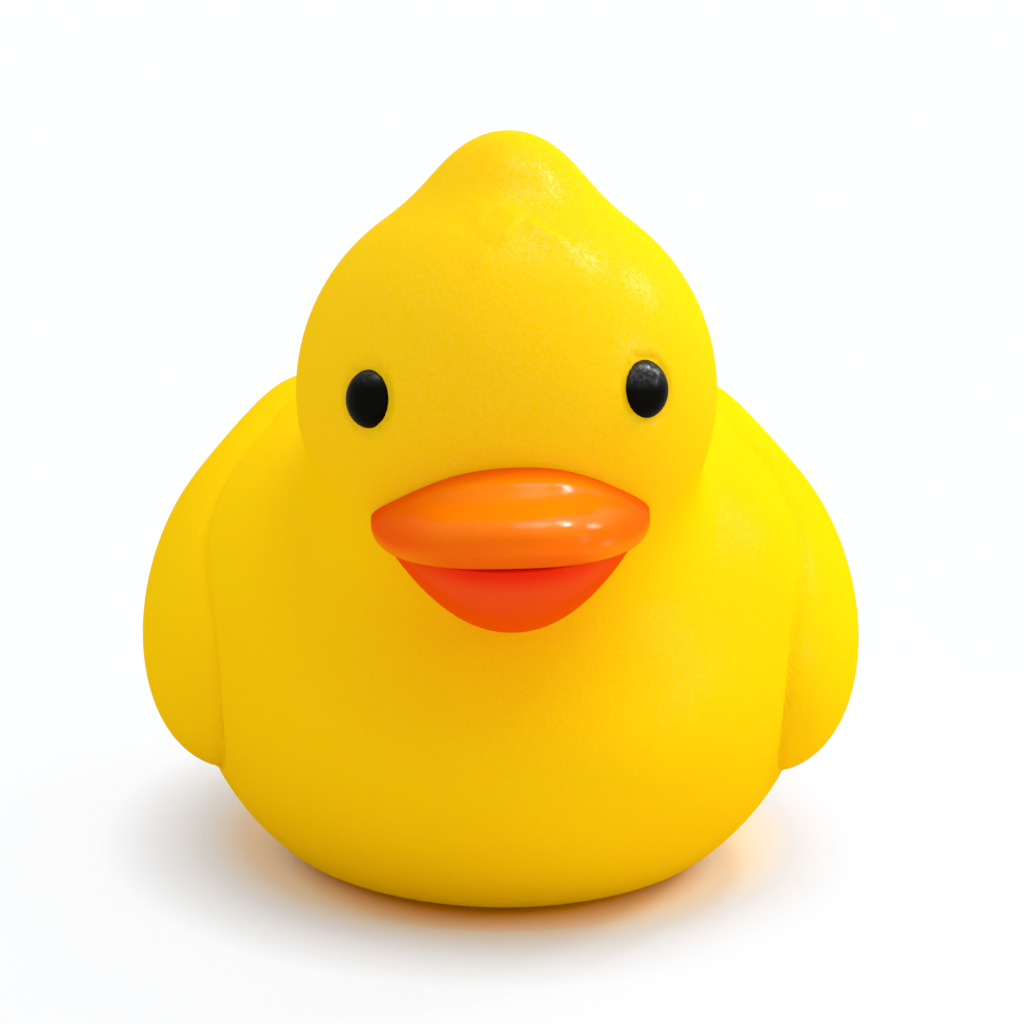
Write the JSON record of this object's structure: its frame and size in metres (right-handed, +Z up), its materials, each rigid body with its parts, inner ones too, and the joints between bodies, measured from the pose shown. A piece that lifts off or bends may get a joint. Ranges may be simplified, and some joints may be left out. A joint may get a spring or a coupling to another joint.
{
  "type": "squishy toy duck",
  "caption": "Hollow soft vinyl toy duck with a crested round head, broad painted bill, dome eyes, wing lobes and upturned tail; it squeezes, floats and stands on a flat base.",
  "frame": {"origin": "centre of the bounding box, on the surface that the duck stands on", "axes": "+Z up; the duck looks along -Y; +X across its width, to the right of someone facing it"},
  "size_m": [0.0764, 0.093, 0.0803],
  "materials": {
    "yellow_vinyl": "satin soft vinyl with a fine moulded grain, coloured through",
    "orange_paint": "glossy flexible paint over the moulded bill",
    "black_paint": "glossy flexible paint over the moulded eye domes"
  },
  "bodies": {
    "root": {"duck_shell": "yellow_vinyl"}
  },
  "joints": []
}
